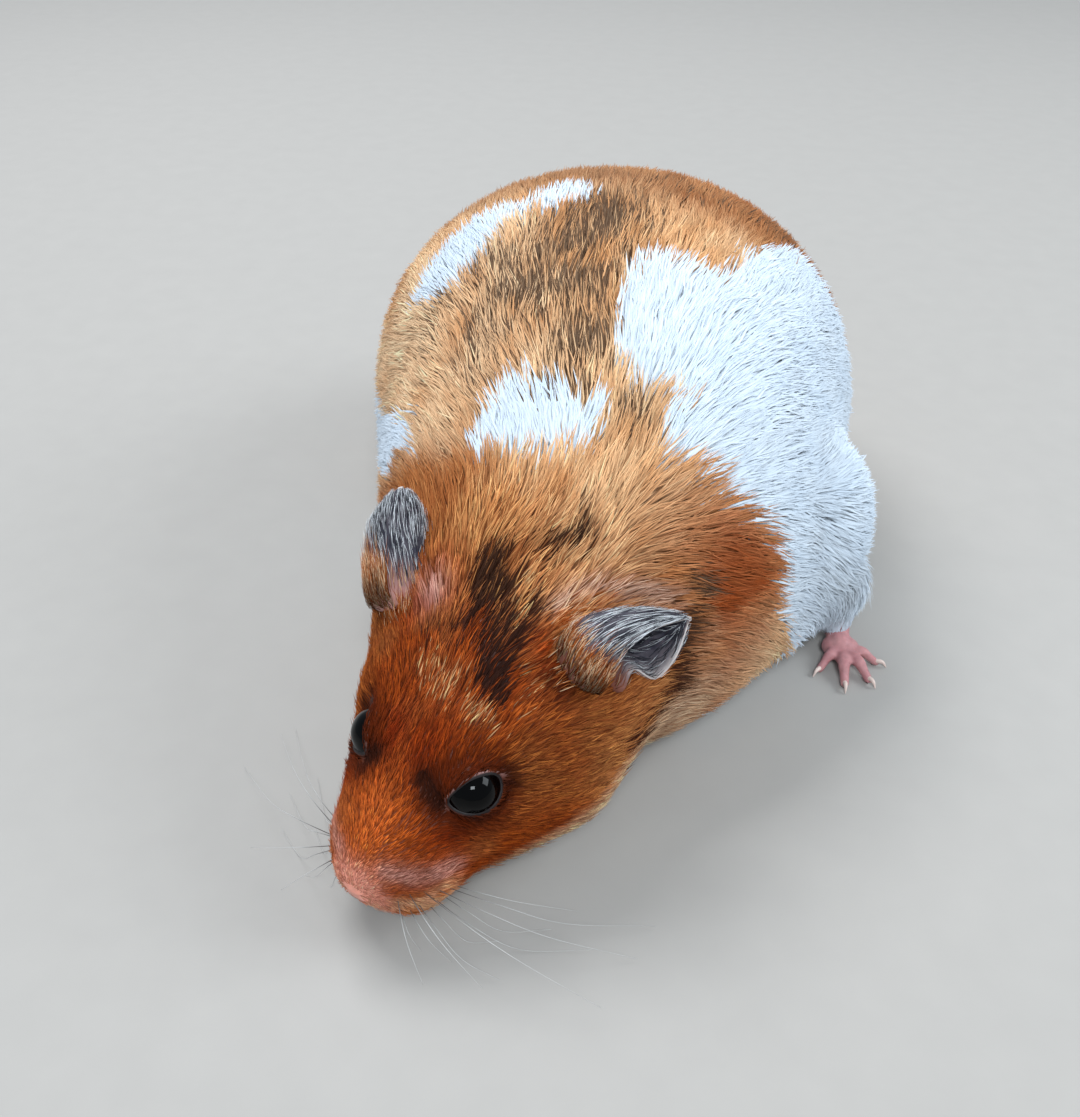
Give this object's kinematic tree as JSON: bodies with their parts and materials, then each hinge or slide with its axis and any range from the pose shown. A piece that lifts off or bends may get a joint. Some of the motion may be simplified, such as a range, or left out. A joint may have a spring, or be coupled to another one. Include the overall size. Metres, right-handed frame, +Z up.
{
  "type": "syrian hamster model",
  "caption": "Life-size still model of a tortoiseshell and white Syrian hamster, crouched with its head low and turned to its right, standing on its own feet.",
  "frame": {"origin": "centre of the bounding box at the level of the soles, on the floor", "axes": "+Z up, -Y the way the trunk faces, +X the animal's left side"},
  "size_m": [0.0858, 0.1446, 0.0567],
  "materials": {
    "coat_orange": "short rust-orange fur with darker ticking",
    "coat_white": "short white fur",
    "ear_skin": "thin blue-grey skin with fine silver hairs",
    "foot_skin": "bare pink skin",
    "eye_black": "wet gloss black"
  },
  "bodies": {
    "root": {"head": "coat_orange", "neck": "coat_orange", "trunk": "coat_orange", "left_foreleg": "coat_white", "right_foreleg": "coat_orange", "left_hindleg": "coat_orange", "right_hindleg": "coat_orange", "left_forefoot": "foot_skin", "right_forefoot": "foot_skin", "left_hindfoot": "foot_skin", "right_hindfoot": "foot_skin", "tail": "foot_skin", "left_ear": "ear_skin", "right_ear": "ear_skin", "left_eye": "eye_black", "right_eye": "eye_black"}
  },
  "joints": []
}
